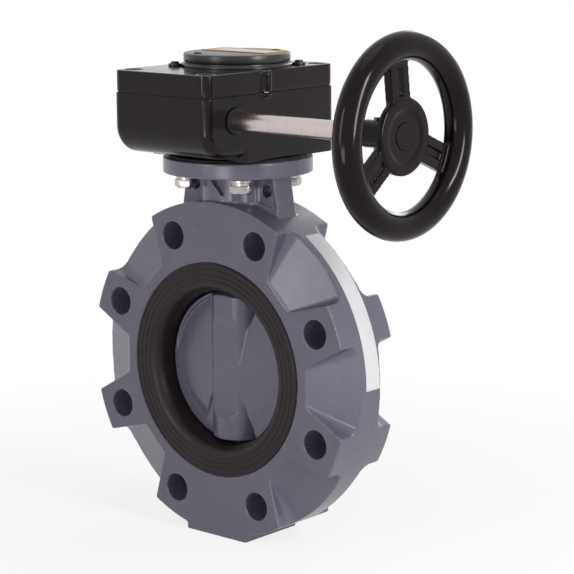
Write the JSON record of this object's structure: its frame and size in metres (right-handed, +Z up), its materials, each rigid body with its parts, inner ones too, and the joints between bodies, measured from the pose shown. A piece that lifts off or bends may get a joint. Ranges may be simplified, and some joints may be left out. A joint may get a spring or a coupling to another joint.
{
  "type": "gear operated butterfly valve",
  "caption": "Lugged grey plastic butterfly valve with a rubber seat, a black worm gear operator, a steel shaft and a black spoked handwheel.",
  "frame": {"origin": "bore centre, where the stem axis crosses the flow axis at the middle of the body", "axes": "+Z up along the stem to the gear operator, +X along the input shaft towards the handwheel, -Y along the flow axis towards the front face"},
  "size_m": [0.2998, 0.1703, 0.3504],
  "materials": {
    "body_pvc": "moulded grey PVC, satin",
    "disc_pvc": "moulded grey PVC with planed hub flats",
    "liner_rubber": "moulded black rubber, satin",
    "seal_rubber": "black rubber",
    "gasket_sheet": "dark fibre sheet",
    "stainless": "turned stainless steel",
    "spring_steel": "bright spring steel",
    "bearing_plastic": "natural bearing plastic",
    "black_enamel": "gloss black enamel on cast metal",
    "black_oxide": "blackened steel",
    "gear_iron": "machined cast iron",
    "bronze": "bearing bronze",
    "black_plastic": "moulded black plastic",
    "plate_white": "white plate with a yellow border line",
    "worm_steel": "hardened steel",
    "wheel_enamel": "gloss black enamel",
    "label_film": "bare white label film"
  },
  "bodies": {
    "valve": {"valve_body": "body_pvc", "seat_liner": "liner_rubber", "upper_stem_bush": "bearing_plastic", "lower_stem_bush": "bearing_plastic", "mounting_gasket": "gasket_sheet", "flat_washers": "stainless", "lock_washers": "spring_steel", "flange_bolts": "stainless", "gear_housing": "black_enamel", "cover_gasket": "gasket_sheet", "gear_cover": "black_enamel", "dowel_pins": "spring_steel", "cover_screws": "black_oxide", "lower_hub_bush": "bronze", "upper_hub_bush": "bronze", "hub_seal": "seal_rubber", "stop_screws": "black_oxide", "stop_nuts": "black_oxide", "shaft_bushes": "bronze", "thrust_washers": "bronze", "shaft_seal": "seal_rubber", "end_plug": "black_enamel", "indicator_base": "black_plastic", "base_screws": "black_oxide", "rim_label": "label_film"},
    "disc_drive": {"disc": "disc_pvc", "stem": "stainless", "stem_o_rings": "seal_rubber", "stem_clip": "spring_steel", "quadrant_gear": "gear_iron", "indicator_carrier": "black_plastic", "indicator_cap": "black_plastic", "indicator_plate": "plate_white", "cap_screws": "black_oxide"},
    "wheel_drive": {"handwheel": "wheel_enamel", "hub_plug": "black_plastic", "wheel_pin": "spring_steel", "input_shaft": "stainless", "worm": "worm_steel", "worm_pin": "spring_steel"}
  },
  "joints": [
    {"name": "disc_turn", "type": "hinge", "parent": "valve", "child": "disc_drive", "pos_m": [0, 0, 0], "axis": [0, 0, 1], "range_deg": [0, 90]},
    {"name": "wheel_turn", "type": "hinge", "parent": "valve", "child": "wheel_drive", "pos_m": [0, -0.048, 0.1724], "axis": [1, 0, 0], "range_deg": [0, 2340]}
  ],
  "couplings": [
    {"joint": "wheel_turn", "follows": "disc_turn", "ratio": 26}
  ]
}
